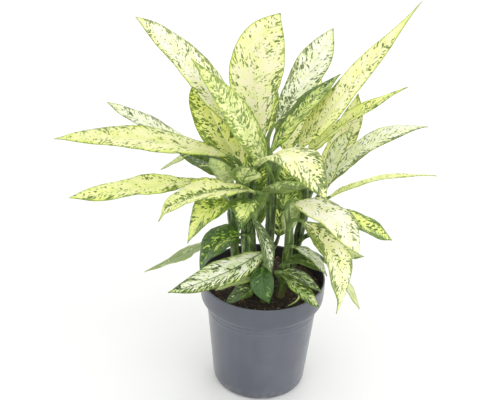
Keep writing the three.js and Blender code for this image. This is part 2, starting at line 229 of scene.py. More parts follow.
def make_stage():
    world = bpy.data.worlds.new("studio")
    world.use_nodes = True
    background = world.node_tree.nodes["Background"]
    background.inputs["Color"].default_value = (1, 1, 1, 1)
    background.inputs["Strength"].default_value = 1.0
    bpy.context.scene.world = world
    bpy.context.scene.view_settings.view_transform = "Standard"

    make_light("key", (-0.6, -2.1, 1.7), (0, 0, 0.3), 2.4, 6)
    make_light("low", (0.2, -2.2, 0.5), (0, 0, 0.28), 1.8, 5)
    make_light("fill", (1.7, -1.3, 1.0), (0, 0, 0.3), 2.0, 10)
    make_light("back", (0.4, 1.7, 1.6), (0, 0, 0.3), 1.4, 7)

    material, g = new_material("pale_floor")
    at = g.point()
    grain = g.noise(at, scale=9, detail=4)
    color = g.mix(grain, linear(246, 246, 245), linear(250, 250, 249))
    g.surface(color, 0.75)
    edge = [on_circle(FLOOR_RADIUS, i / FLOOR_SIDES * math.tau) for i in range(FLOOR_SIDES)]
    new_object("floor", edge, [list(range(FLOOR_SIDES))], material)


# ---------------------------------------------------------------- pot (millimetres from here on)

POT_HEIGHT = 162
RIM_RADIUS = 84
SHOULDER_RADIUS = 75
FOOT_RADIUS = 60.5
BAND_FOOT = POT_HEIGHT - 33
SHOULDER_HEIGHT = BAND_FOOT - 3
WALL = 1.6
FLOOR_RISE = 3
FLOOR_TOP = FLOOR_RISE + WALL
POT_SIDES = 160
POT_CREASE = 38
DRAIN_HOLES = 8
DRAIN_RADIUS = 4
DRAIN_CIRCLE = 40
FOOT_NOTCHES = 6
NOTCH_SIZE = (24, 10, 4)
NOTCH_START = math.radians(-95)
ROUNDING = 3.5


def side_radius(z):
    """The radius of the pot's plain taper at that height."""
    return lerp(FOOT_RADIUS + 3.4, SHOULDER_RADIUS, (z - 10) / (SHOULDER_HEIGHT - 10))


def raised_ring(z):
    """Profile points of a faint ring round the taper."""
    return [(side_radius(z - 1.6), z - 1.6), (side_radius(z) + 0.6, z), (side_radius(z + 1.6), z + 1.6)]


def rounded(profile, radius, steps=4):
    """The profile with each inner corner rounded, over at most that distance to either side."""
    points = [Vector(p) for p in profile]
    result = [points[0]]
    for before, corner, after in zip(points, points[1:], points[2:]):
        back, on = before - corner, after - corner
        reach = min(radius, 0.45 * back.length, 0.45 * on.length)
        start, end = corner + back.normalized() * reach, corner + on.normalized() * reach
        for i in range(steps + 1):
            s = i / steps
            result.append(start * (1 - s) ** 2 + corner * 2 * s * (1 - s) + end * s ** 2)
    result.append(points[-1])
    return result


def turned(name, profile, sides, material, sharp_angle):
    """A closed profile that starts and ends on the axis, turned about it."""
    inner = profile[1:-1]
    vertices = [on_circle(x, j / sides * math.tau, z) for x, z in inner for j in range(sides)]
    vertices += [(0, 0, profile[0][1]), (0, 0, profile[-1][1])]
    return new_object(name, np.array(vertices) * MM, tube_faces(len(inner), sides), material, sharp_angle)


def cut(obj, cutters, sharp_angle):
    """Cuts boxes and cylinders out of obj with one boolean, then removes them."""
    bm = bmesh.new()
    for cutter in cutters:
        cutter.data.transform(cutter.matrix_basis)
        bm.from_mesh(cutter.data)
    mesh = bpy.data.meshes.new("cutters")
    bm.to_mesh(mesh)
    bm.free()
    tool = linked("cutters", mesh)
    modifier = obj.modifiers.new("cut", "BOOLEAN")
    modifier.operation = "DIFFERENCE"
    modifier.solver = "EXACT"
    modifier.object = tool
    graph = bpy.context.evaluated_depsgraph_get()
    result = bpy.data.meshes.new_from_object(obj.evaluated_get(graph))
    obj.modifiers.clear()
    obj.data = result
    obj.data.set_sharp_from_angle(angle=math.radians(sharp_angle))
    for cutter in [*cutters, tool]:
        bpy.data.objects.remove(cutter)


def pot_material():
    material, g = new_material("moulded_grey_plastic")
    at = g.point()
    _, _, height = g.parts(at)
    flow = g.noise(g.scaled(at, 1, 1, 0.22), scale=38, detail=3)
    cloud = g.noise(at, scale=14, detail=3)
    color = g.mix(g.step(flow, 0.3, 0.7), linear(74, 78, 90), linear(82, 86, 98))
    color = g.tinted(color, g.step(cloud, 0.45, 0.75), 0.25, linear(110, 114, 124))
    band = g.step(height, BAND_FOOT * MM, (BAND_FOOT + 3) * MM)
    color = g.tinted(color, band, 0.4, linear(54, 58, 70))
    dust = g.times(g.step(height, 0.022, 0.0), g.step(g.noise(at, scale=120, detail=5), 0.4, 0.7))
    color = g.tinted(color, dust, 0.35, linear(150, 146, 138))
    scuff = g.step(g.noise(g.scaled(at, 1, 1, 9), scale=60, detail=4, roughness=0.7), 0.66, 0.74)
    color = g.tinted(color, scuff, 0.14, linear(150, 154, 162))
    # Painted shade: the inner wall is darkened to brown-black from just under the lip down into the soil.
    radius = g.add("ShaderNodeVectorMath", {0: g.scaled(at, 1, 1, 0)}, 1, operation="LENGTH")
    below_lip = g.step(height, (POT_HEIGHT - 1) * MM, (POT_HEIGHT - 4) * MM)
    inside = g.times(g.step(radius, (RIM_RADIUS - 1.6) * MM, (RIM_RADIUS - 2.2) * MM), below_lip)
    inside = g.times(inside, g.step(height, (BAND_FOOT + 4) * MM, (BAND_FOOT + 8) * MM))
    color = g.tinted(color, inside, 0.75, linear(40, 35, 33))
    roughness = g.plus(0.36, g.times(g.noise(at, scale=90, detail=4), 0.16))
    grain = g.noise(at, scale=1600, detail=2)
    normal = g.bump(g.plus(g.times(grain, 0.35), flow), 0.00022, 0.6)
    g.surface(color, roughness, normal, IOR=1.49, Coat_Weight=0.6, Coat_Roughness=0.22)
    return material


def make_pot():
    """The pot: its profile runs from the foot up the outside, and down the inside to the floor."""
    profile = [
        (0, 0), (13, 0), (15, FLOOR_RISE), (FOOT_RADIUS - 9, FLOOR_RISE), (FOOT_RADIUS - 7, 0),
        (FOOT_RADIUS - 2, 0), (FOOT_RADIUS + 1, 1.5), (FOOT_RADIUS + 2.6, 5), (side_radius(10), 10),
        *raised_ring(116), *raised_ring(122),
        (SHOULDER_RADIUS, SHOULDER_HEIGHT), (RIM_RADIUS - 4.4, BAND_FOOT - 0.5),
        (RIM_RADIUS - 1.2, BAND_FOOT + 4), (RIM_RADIUS - 0.3, BAND_FOOT + 12), (RIM_RADIUS, POT_HEIGHT - 2),
        (RIM_RADIUS - 0.6, POT_HEIGHT), (RIM_RADIUS - 2, POT_HEIGHT), (RIM_RADIUS - 2.4, POT_HEIGHT - 2),
        (RIM_RADIUS - 3.6, BAND_FOOT + 4), (SHOULDER_RADIUS - WALL, SHOULDER_HEIGHT),
        (side_radius(10) - WALL, 10), (FOOT_RADIUS - 2, FLOOR_TOP), (0, FLOOR_TOP),
    ]
    pot = turned("pot_shell", rounded(profile, ROUNDING), POT_SIDES, pot_material(), POT_CREASE)
    cutters = []
    for i in range(DRAIN_HOLES):
        bpy.ops.mesh.primitive_cylinder_add(
            vertices=40, radius=DRAIN_RADIUS * MM, depth=20 * MM,
            location=on_circle(DRAIN_CIRCLE * MM, i / DRAIN_HOLES * math.tau))
        cutters.append(bpy.context.object)
    for i in range(FOOT_NOTCHES):
        angle = NOTCH_START + i / FOOT_NOTCHES * math.tau
        bpy.ops.mesh.primitive_cube_add(
            size=1, location=on_circle(FOOT_RADIUS * MM, angle), rotation=(0, 0, angle),
            scale=[side * MM for side in NOTCH_SIZE])
        cutters.append(bpy.context.object)
    cut(pot, cutters, POT_CREASE)
    place(pot, "pot_plastic", "pot")


# ---------------------------------------------------------------- shoots: canes with their leaf stalks

SOIL_TOP = 147
# Each cane: where it stands at the soil, its tip, and its radius.
SHOOTS = {
    "left": ((-32, -4), (-46, -8, 268), 7),
    "rear_left": ((-14, 22), (-24, 18, 298), 7.5),
    "rear_right": ((7, 26), (5, 34, 310), 7),
    "centre": ((4, -4), (8, -2, 300), 8),
    "right": ((34, 8), (54, 12, 268), 7),
    "front_left": ((-18, -28), (-26, -40, 248), 6.5),
    "front_right": ((24, -26), (34, -36, 243), 6.5),
    "front_low": ((2, -40), (3, -46, 196), 5),
}

# Each paint: the pale ground, the yellow-green between, the deep green of the flecks, and the midrib.
PAINTS = {
    "cream": ((247, 241, 222), (228, 234, 168), (86, 108, 54), (238, 240, 200)),
    "butter": ((232, 225, 204), (216, 226, 154), (84, 108, 50), (232, 236, 174)),
    "chiffon": ((247, 243, 204), (224, 233, 148), (84, 108, 50), (236, 240, 196)),
    "straw": ((232, 230, 184), (208, 221, 128), (84, 108, 50), (228, 234, 180)),
    "lime": ((246, 250, 186), (218, 234, 132), (78, 106, 44), (244, 247, 208)),
    "bright": ((238, 245, 158), (196, 216, 106), (70, 102, 46), (204, 220, 124)),
    "mottled": ((238, 242, 186), (202, 216, 134), (114, 138, 66), (224, 232, 172)),
    "frost": ((248, 251, 230), (212, 222, 178), (74, 96, 56), (226, 234, 198)),
    "silver": ((250, 252, 236), (186, 206, 142), (48, 74, 30), (94, 116, 68)),
    "spark": ((242, 247, 198), (146, 178, 86), (40, 68, 26), (96, 132, 56)),
    "forest": ((226, 235, 156), (140, 168, 80), (52, 84, 30), (118, 148, 70)),
    "deep": ((160, 192, 92), (92, 132, 52), (46, 82, 28), (92, 130, 54)),
    "jungle": ((204, 224, 96), (126, 164, 60), (38, 74, 22), (70, 108, 38)),
    "dull": ((212, 219, 164), (168, 184, 118), (90, 112, 56), (168, 182, 128)),
    "hazy": ((192, 203, 152), (162, 178, 120), (128, 146, 90), (174, 186, 138)),
}
# How far a paint's flecks lean along the side veins: 0 is straight out, and 1 is along them.
SLANTED = {"silver": 1.0, "spark": 0.9, "forest": 0.8, "deep": 0.8, "bright": 0.7}
USUAL_SLANT = 0.65
LEAVES = []


def leaf(shoot, start, base, middle, tip, width, roll, paint, fleck, margins, **more):
    """A row for one leaf, in millimetres and degrees.

    The stalk leaves its cane at height start, and the midrib runs through base, middle and tip.
    fleck says how dense the flecks are, and margins how much denser at the left and the right edge,
    seen from the stalk; foot, end and spine say the same of the foot, the tip and the midrib, and
    rib how strongly the midrib shows. The halves rise by fold, arch over by arch and ripple by wave.
    widest, blunt and draw (how much, over what share) shape the outline, and hook bends the tip.
    """
    row = {"shoot": shoot, "start": start, "width": width, "roll": roll, "paint": paint,
           "base": np.array(base, float), "middle": np.array(middle, float), "tip": np.array(tip, float),
           "fleck": fleck, "margins": margins, "foot": 0.0, "end": 0.0, "spine": 0.0, "rib": 0.5,
           "rib_color": PAINTS[paint][3],
           "fold": 16, "arch": 0.2, "widest": 0.45, "blunt": 0.8, "wave": 0.05, "draw": (0.75, 0.08),
           "hook": (0, 0)}
    row.update(more)
    row["seed"] = len(LEAVES) + 1
    LEAVES.append(row)


# the crown
leaf("rear_left", 280, (-13, 2, 350), (-95, -8, 455), (-161, -20, 520), 65, 22,
     "cream", .05, (.25, .5), end=.1, widest=.38)
leaf("centre", 275, (-4, -23, 343), (-44, -34, 414), (-95, -34, 477), 46, 56, "mottled", .3, (.2, .2),
     widest=.34, blunt=1.05)
leaf("left", 250, (-31, 3, 320), (-71, 10, 386), (-91, 20, 434), 64, 39,
     "lime", .12, (.5, .2), rib=.9, widest=.5, blunt=.65)
leaf("rear_right", 305, (-7, 25, 356), (-21, 56, 435), (7, 68, 505), 78, 13,
     "butter", .03, (.1, .3), foot=.2, end=.15, widest=.54, blunt=.72)
leaf("rear_right", 290, (6, 30, 370), (44, 60, 427), (75, 85, 483), 54, -7,
     "frost", .06, (.3, .25), foot=.55, widest=.56, blunt=.75)
leaf("centre", 290, (36, -12, 361), (101, -14, 454), (170, 0, 547), 56, -26,
     "chiffon", .03, (.25, .1), foot=.1, widest=.35, blunt=1.15, draw=(.8, .2))
leaf("centre", 298, (3, -5, 350), (39, -2, 405), (84, 20, 446), 52, -21, "forest", .24, (1.8, .0))
leaf("right", 262, (48, 4, 339), (98, 10, 388), (168, 20, 433), 36, -2,
     "lime", .06, (.15, .3), end=.15, rib=.9, rib_color=(112, 132, 62), widest=.4, blunt=.7,
     fold=26, wave=.12, draw=(.85, .12))
leaf("right", 240, (74, 46, 297), (104, 60, 355), (112, 66, 403), 46, -13,
     "cream", .05, (.1, .45), rib=.7, rib_color=(150, 160, 96), widest=.35)
leaf("right", 228, (75, -10, 304), (84, -6, 348), (104, 0, 383), 34, 15, "frost", .05, (.3, .2))
leaf("right", 215, (74, 8, 295), (128, 14, 357), (199, 20, 381), 47, -2,
     "frost", .1, (.1, .55), foot=.2, draw=(.85, .14))
leaf("right", 205, (80, -14, 293), (140, 0, 314), (216, 8, 319), 32, 20, "lime", .08, (.1, .2))
# the middle tier
leaf("front_left", 240, (-12, -45, 349), (29, -88, 381), (69, -118, 343), 66, -3,
     "chiffon", .1, (.4, .32), end=.2, widest=.5, blunt=.6)
# Leaf 14 is one of the cream leaves; its darker dull paint is painted shade.
leaf("front_left", 230, (-31, -48, 323), (-26, -54, 338), (-19, -57, 351), 42, -165,
     "dull", .15, (.9, .1), rib=1, rib_color=(112, 138, 62), fold=8, widest=.58)
leaf("left", 258, (-51, -30, 352), (-158, -36, 372), (-260, -44, 371), 56, 7,
     "straw", .06, (.15, .35), end=.1, widest=.5, draw=(.85, .12))
leaf("left", 240, (-42, -8, 316), (-78, -8, 332), (-113, -14, 346), 46, 10, "forest", .7, (.2, .2))
leaf("left", 228, (-48, -38, 309), (-57, -45, 337), (-71, -47, 356), 34, -5,
     "dull", .2, (.3, .3), widest=.55, blunt=.6)
leaf("rear_left", 262, (-93, 15, 342), (-154, 20, 368), (-206, 25, 393), 40, 2,
     "frost", .18, (.3, .3), widest=.5)
leaf("left", 205, (-76, -30, 316), (-143, -40, 311), (-245, -50, 294), 52, 4,
     "lime", .04, (.4, .2), foot=.25, widest=.66, blunt=.65, wave=.1, draw=(.85, .09))
leaf("rear_left", 250, (-94, 30, 327), (-118, 34, 312), (-141, 38, 295), 20, 4, "dull", .05, (.2, .2))
leaf("front_left", 232, (-13, -55, 317), (-72, -80, 325), (-136, -88, 296), 60, 2,
     "lime", .02, (.2, .2), spine=.6, widest=.62, blunt=.6, fold=24, wave=.1, hook=(0, -11), draw=(.88, .13))
leaf("front_left", 222, (-44, -58, 303), (-72, -78, 297), (-94, -85, 257), 54, 0,
     "bright", .1, (.5, .5), foot=.5, fold=22, widest=.4, blunt=.95, draw=(.85, .13))
# Leaf 23's foot is painted dense deep green as painted shade where it meets its stalk.
leaf("front_left", 205, (-15, -62, 311), (-22, -92, 311), (-32, -108, 288), 56, -17,
     "forest", .12, (.8, .7), foot=1.0, end=.5, fold=28, widest=.3, blunt=1.25, draw=(.85, .13))
leaf("centre", 250, (-2, -18, 298), (25, -34, 314), (57, -40, 323), 30, 43, "spark", .5, (.3, .1), foot=.3)
leaf("front_right", 235, (38, -52, 305), (84, -86, 300), (114, -102, 264), 62, 4,
     "cream", .0, (.55, .02), rib=.25, widest=.46, blunt=.6)
leaf("right", 195, (90, -20, 276), (132, -28, 258), (163, -30, 243), 41, -4,
     "bright", .3, (.7, .6), fold=22, draw=(.85, .12))
leaf("front_right", 195, (31, -20, 239), (34, -18, 268), (37, -16, 293), 38, 75, "dull", .25, (.3, .3))
# the skirt over the rim
leaf("front_left", 190, (-33, -46, 250), (-66, -53, 233), (-80, -60, 198), 57, 8,
     "jungle", .45, (.8, .8), end=.3, rib=.2, fold=22, widest=.32, blunt=1, draw=(.88, .15))
leaf("rear_left", 175, (-68, 25, 199), (-116, 36, 163), (-166, 42, 132), 34, 8, "hazy", .7, (.3, .1),
     widest=.35, blunt=1, wave=.1, draw=(.85, .15))
leaf("front_low", 190, (-2, -66, 238), (-52, -108, 228), (-113, -132, 215), 51, 0,
     "silver", .16, (.3, .3), end=.2, rib=.9, blunt=.9)
leaf("front_left", 165, (-9, -50, 189), (-34, -60, 188), (-60, -63, 176), 24, -12, "hazy", .1, (.3, .3))
leaf("front_low", 158, (-11, -48, 174), (-27, -58, 171), (-47, -61, 156), 36, -7, "spark", .62, (.3, .3))
leaf("front_low", 180, (0, -54, 209), (0, -68, 192), (10, -70, 164), 32, 0,
     "deep", .7, (.3, .3), widest=.45, blunt=.75, draw=(.85, .12))
leaf("front_left", 210, (-15, -60, 284), (1, -72, 254), (11, -76, 214), 38, 18,
     "silver", .45, (.8, .8), widest=.62)
leaf("front_right", 165, (25, -56, 204), (49, -56, 197), (77, -62, 179), 34, 3, "spark", .45, (.3, .3))
leaf("front_right", 172, (32, -64, 198), (52, -78, 189), (73, -87, 173), 32, 12, "spark", .3, (.2, .2))
leaf("front_right", 160, (43, -60, 183), (48, -62, 170), (34, -66, 159), 9, 0, "lime", .3, (.3, .3))
leaf("front_right", 215, (47, -55, 278), (88, -88, 249), (98, -100, 178), 56, 6,
     "chiffon", .08, (.65, .6), foot=.4, rib=.2, widest=.5, blunt=.7, wave=.08, draw=(.8, .12), hook=(8, 0))
leaf("right", 180, (90, -35, 200), (111, -45, 177), (128, -52, 150), 30, 16, "dull", -.3, (.2, .2))
leaf("front_right", 198, (40, -48, 237), (63, -58, 228), (81, -66, 207), 34, 14, "silver", .05, (.5, .2))
leaf("front_right", 185, (26, -46, 210), (49, -56, 224), (78, -62, 209), 38, 0, "forest", .6, (.3, .3))
leaf("right", 190, (89, -30, 234), (109, -36, 223), (128, -40, 223), 30, 12, "dull", .2, (.3, .3))
# the back
leaf("rear_right", 270, (22, 62, 320), (40, 118, 372), (56, 188, 396), 60, 0, "chiffon", .06, (.4, .4))
leaf("rear_left", 240, (-34, 52, 300), (-60, 108, 336), (-92, 168, 340), 58, 0, "lime", .3, (.5, .5))
leaf("rear_right", 185, (-10, 84, 192), (-18, 114, 258), (-24, 140, 318), 48, 0, "forest", .5, (.4, .4))
leaf("right", 250, (62, 52, 280), (82, 92, 290), (86, 130, 276), 46, 0, "cream", .06, (.5, .5))
leaf("rear_right", 170, (19, 56, 192), (27, 84, 262), (33, 104, 300), 58, 0, "forest", .5, (.3, .3))
leaf("rear_left", 200, (-40, 50, 236), (-74, 82, 232), (-100, 110, 200), 48, 0, "bright", .4, (.75, .75))
leaf("rear_right", 280, (-8, 60, 345), (-16, 98, 384), (-20, 140, 404), 54, 0, "lime", .05, (.3, .3))
leaf("right", 212, (66, 46, 240), (94, 74, 226), (114, 98, 196), 44, 0, "forest", .5, (.4, .4))


def unit(v):
    return v / np.linalg.norm(v, axis=-1, keepdims=True)


def midrib_direction(row, t):
    """The direction of the midrib's curve, where t is 0 at the base and 1 at the tip."""
    t = np.asarray(t, float)[..., None]
    return unit(row["base"] * (4 * t - 3) + row["middle"] * (4 - 8 * t) + row["tip"] * (4 * t - 1))


def cane_centre(shoot, z):
    """The middle of a cane at that height."""
    (x0, y0), (x1, y1, top), _ = SHOOTS[shoot]
    share = (np.asarray(z, float) - SOIL_TOP) / (top - SOIL_TOP)
    return np.stack([lerp(x0, x1, share), lerp(y0, y1, share), np.asarray(z, float)], -1)


def tube(rings):
    """Vertices and faces of a closed tube through rings of points."""
    vertices = [point for ring in rings for point in ring] + [rings[0].mean(0), rings[-1].mean(0)]
    return vertices, tube_faces(len(rings), len(rings[0]))


CANE_SIDES = 30
CANE_STEP = 1.3
CANE_DEPTH = 24
CANE_TAPER = 0.72
CANE_END = 11
INTERNODE = 26
STALK_SIDES = 22
STALK_STEP = 3.2
STALK_FOOT_RADIUS = 4.4
STALK_END_RADIUS = 2.1


def cane_rings(shoot, draw):
    """A cane from below the soil to its tip: internodes, with a slanting scar ridge at each node."""
    _, (_, _, top), radius = SHOOTS[shoot]
    foot = SOIL_TOP - CANE_DEPTH
    angles = np.arange(CANE_SIDES) / CANE_SIDES * math.tau
    lean = draw.uniform(0, math.tau)
    rings = []
    steps = int((top - foot) / CANE_STEP)
    for i in range(steps + 1):
        z = lerp(foot, top, i / steps)
        taper = lerp(1, CANE_TAPER, i / steps)
        turns = (z - foot) / INTERNODE
        phase = (turns + 0.05 * np.cos(angles - lean) * (1 if int(turns) % 2 else -1)) % 1
        near = np.minimum(abs(phase - 0.5), 1 - abs(phase - 0.5))
        swelling = 0.985 + 0.06 * np.exp(-(near / 0.09) ** 2) - 0.05 * np.exp(-((near - 0.06) / 0.02) ** 2)
        closing = 1 - 0.62 * smooth(top - CANE_END, top, z) ** 1.3
        r = radius * taper * closing * (swelling + 0.012 * np.sin(3 * angles + z / 17))
        x, y, _ = cane_centre(shoot, z)
        rings.append(np.stack([x + r * np.cos(angles), y + r * np.sin(angles), np.full(CANE_SIDES, z)], -1))
    return rings


def stalk_rings(row):
    """A leaf stalk: rounded outside, grooved on the side that faces the cane, with thin raised wings."""
    foot = cane_centre(row["shoot"], row["start"])
    end = midrib_direction(row, 0.0)
    neck = row["base"] - 0.3 * end
    reach = np.linalg.norm(neck - foot)
    control = [foot, foot + UP * 0.45 * reach, neck - end * 0.4 * reach, neck]
    angles = np.arange(STALK_SIDES) / STALK_SIDES * math.tau
    from_groove = (angles + math.pi) % math.tau - math.pi
    outward = neck - foot
    outward[2] = 0
    outward = unit(outward + 1e-6)
    rings = []
    steps = max(16, int(reach / STALK_STEP))
    for i in range(steps + 1):
        s = i / steps
        a, b, c, d = ((1 - s) ** 3, 3 * s * (1 - s) ** 2, 3 * s * s * (1 - s), s ** 3)
        point = a * control[0] + b * control[1] + c * control[2] + d * control[3]
        along = unit(3 * (1 - s) ** 2 * (control[1] - control[0])
                     + 6 * s * (1 - s) * (control[2] - control[1])
                     + 3 * s * s * (control[3] - control[2]))
        inner = 0.7 * UP - outward
        inner = unit(inner - along * inner.dot(along))
        across = np.cross(along, inner)
        r = lerp(STALK_FOOT_RADIUS, STALK_END_RADIUS, s)
        groove = lerp(0.42, 0.16, smooth(0.3, 1, s))
        wing = 0.28 * (1 - smooth(0.35, 0.6, s))
        shape = (1 - groove * np.exp(-(from_groove / 0.42) ** 2)
                 + wing * np.exp(-((abs(from_groove) - 0.8) / 0.17) ** 2))
        rings.append(point + (inner * (r * shape * np.cos(angles))[:, None]
                              + across * (1.12 * r * shape * np.sin(angles))[:, None]))
    rings.append(neck + 2.2 * end + 0.55 * (rings[-1] - neck))
    return rings


def shoot_material():
    material, g = new_material("green_stem")
    at = g.point()
    side, depth, height = g.parts(at)
    streak = g.noise(g.scaled(at, 900, 900, 55), detail=3)
    patch = g.noise(at, scale=55, detail=3)
    color = g.mix(g.step(streak, 0.35, 0.7), linear(38, 60, 18), linear(96, 127, 46))
    color = g.tinted(color, g.step(patch, 0.5, 0.72), 0.5, linear(136, 160, 88))
    stripe = g.noise(g.scaled(at, 230, 230, 16), detail=2)
    color = g.tinted(color, g.step(stripe, 0.5, 0.36), 0.8, linear(22, 35, 13))
    color = g.tinted(color, g.step(stripe, 0.56, 0.66), 0.7, linear(168, 190, 114))
    fleck = g.step(g.noise(g.scaled(at, 420, 420, 130), detail=2), 0.6, 0.66)
    color = g.tinted(color, fleck, 0.5, linear(170, 188, 118))
    # Pale sheaths and painted light: the stems at the front right are painted a lighter green.
    sheath_and_lit_front = g.times(g.step(depth, -0.02, -0.05), g.step(side, -0.01, 0.02))
    color = g.tinted(color, sheath_and_lit_front, 0.35, linear(138, 166, 88))
    # Painted shade: the stems are darkened towards near-black green from the front of the bundle to the
    # back.
    inside = g.step(depth, -0.03, 0.02)
    color = g.tinted(color, inside, 0.4, linear(30, 43, 23))
    high = g.step(height, 0.25, 0.37)
    color = g.tinted(color, high, 0.5, linear(146, 176, 84))
    low = g.times(g.step(height, 0.172, 0.146), g.step(patch, 0.32, 0.6))
    color = g.tinted(color, low, 0.75, linear(128, 112, 78))
    roughness = g.plus(0.34, g.times(patch, 0.2))
    normal = g.bump(streak, 0.0004, 0.5)
    g.surface(color, roughness, normal)
    return material


def make_shoots():
    """Each shoot as one object: its cane, and the stalks of its leaves."""
    material = shoot_material()
    for name in SHOOTS:
        draw = random.Random(name)
        vertices, faces = tube(cane_rings(name, draw))
        for row in LEAVES:
            if row["shoot"] == name:
                more, sides = tube(stalk_rings(row))
                faces += [tuple(k + len(vertices) for k in face) for face in sides]
                vertices += more
        obj = new_object(f"stem_{name}", np.array(vertices) * MM, faces, material)
        place(obj, "stem_green", f"shoot_{name}")


# ---------------------------------------------------------------- leaf blades

VEIN_SPACING = 6.5
ROW_SPACING = 2.2
BLADE_CREASE = 70
# Half a blade's thickness beside the midrib and at the edge.
SKIN = (0.36, 0.16)
# How far apart two blades lie in the noise of their paint.
SEED_SHIFT = (61.0, 23.0)
# How far out the columns of a blade's mesh lie: 0 is the midrib, and 1 is the edge.
HALF_COLUMNS = np.array([0, .02, .045, .08, .13, .2, .28, .37, .47, .57, .67, .77, .86, .93, .975, 1])
COLUMNS = np.concatenate([-HALF_COLUMNS[:0:-1], HALF_COLUMNS])


def half_width(row, t):
    """Half the blade's width along the midrib: widest at one place, with its last part drawn out."""
    rib = lerp(2.2, 0.7, t)
    widest, blunt = row["widest"], row["blunt"]
    inside = np.clip(t, 1e-6, 1 - 1e-6)
    rise = (inside / widest) ** (blunt * widest / (1 - widest))
    fall = ((1 - inside) / (1 - widest)) ** blunt
    amount, length = row["draw"]
    drawn_out = 1 - amount * np.exp(-(1 - inside) / length)
    return rib + (row["width"] / 2 - rib) * rise * fall * drawn_out


def blade_faces(rows, columns):
    """Faces of a sheet closed all round: its top points by rows, then those of its underside."""
    low = rows * columns
    faces = []
    for i in range(rows - 1):
        for j in range(columns - 1):
            a, b = i * columns + j, (i + 1) * columns + j
            faces += [(a, a + 1, b + 1, b), (low + b, low + b + 1, low + a + 1, low + a)]
        a, b = i * columns + columns - 1, (i + 1) * columns + columns - 1
        faces.append((a, low + a, low + b, b))
        a, b = i * columns, (i + 1) * columns
        faces.append((a, b, low + b, low + a))
    last = (rows - 1) * columns
    for j in range(columns - 1):
        faces.append((j, low + j, low + j + 1, j + 1))
        faces.append((last + j + 1, low + last + j + 1, low + last + j, last + j))
    return faces


def blade_parts(row):
    """Vertices and faces of a blade, and the coordinates that its paint reads.

    vein: along the side veins, across, and along the midrib, in mm. form: how far out, how far along,
    and 1 on the underside. line: 1 on the midrib, mm to the edge, and 1 on the underside.
    """
    draw = random.Random(row["seed"] * 7 + 1)
    length = np.linalg.norm(row["middle"] - row["base"]) + np.linalg.norm(row["tip"] - row["middle"])
    count = int(np.clip(length / ROW_SPACING, 26, 90))
    t = np.linspace(0, 1, count)
    t = t - 0.05 * np.sin(math.tau * t)
    along = midrib_direction(row, t)
    centre = (row["base"] * ((1 - t) * (1 - 2 * t))[:, None] + row["middle"] * (4 * t * (1 - t))[:, None]
              + row["tip"] * (t * (2 * t - 1))[:, None])
    upper = UP.copy()
    normal = np.empty_like(centre)
    for i, direction in enumerate(along):
        upper = unit(upper - direction * upper.dot(direction))
        normal[i] = upper
    angle = -math.radians(row["roll"])
    normal = normal * math.cos(angle) + np.cross(along, normal) * math.sin(angle)
    side = np.cross(along, normal)
    half = half_width(row, t)
    bend = smooth(0.8, 1.0, t) ** 2
    centre = centre + side * (row["hook"][0] * bend)[:, None] + normal * (row["hook"][1] * bend)[:, None]

    # From here on, arrays have a row for each t and a column for each place across.
    u = COLUMNS[None, :]
    reach = abs(u)
    fold = math.radians(row["fold"])
    shift = np.where(u > 0, 1.7, 0.0)
    tt = t[:, None]
    ripple = row["wave"] * reach ** 3 * np.sin(4 * math.pi * tt + shift)
    for turns in (5, 9):
        start = np.where(u > 0, draw.uniform(0, math.tau), draw.uniform(0, math.tau))
        ripple = ripple + 0.28 * row["wave"] * reach ** 4 * np.sin(turns * math.tau * tt + start) * (1 - tt)
    hw = half[:, None]
    opened = np.minimum(1, tt / 0.1)
    rise = hw * opened * (reach * math.sin(fold) - row["arch"] * u * u + ripple)
    across = hw * u * math.cos(fold)
    rib_width = lerp(1.5, 0.55, tt)
    ridge = np.exp(-(across / rib_width) ** 2)
    vein = tt * length - 0.7 * abs(across) - 0.45 * across ** 2 / (row["width"] / 2)
    relief = 0.09 * np.sin(vein * math.tau / VEIN_SPACING)
    relief = relief * smooth(0.05, 0.3, reach) * (1 - smooth(0.8, 1, reach))
    skin = lerp(*SKIN, reach ** 2) * np.ones_like(tt)
    top = rise + skin + relief - 0.4 * ridge
    bottom = rise - skin + relief - lerp(2.2, 0.5, tt) * ridge

    def grid(offset):
        return (centre[:, None, :] + side[:, None, :] * across[..., None]
                + normal[:, None, :] * offset[..., None]).reshape(-1, 3)

    def spread(values):
        return np.broadcast_to(values, vein.shape)

    vertices = np.concatenate([grid(top), grid(bottom)])
    veins = np.stack([vein, across, spread(tt * length)], -1).reshape(-1, 3)
    form = np.stack([spread(reach), spread(tt)], -1).reshape(-1, 2)
    line = np.stack([spread(ridge), (1 - reach) * hw], -1).reshape(-1, 2)
    under = np.repeat([0.0, 1.0], vein.size)
    coordinates = {
        "vein": np.concatenate([veins, veins]),
        "form": np.column_stack([np.concatenate([form, form]), under]),
        "line": np.column_stack([np.concatenate([line, line]), under]),
    }
    return vertices, blade_faces(count, len(COLUMNS)), coordinates


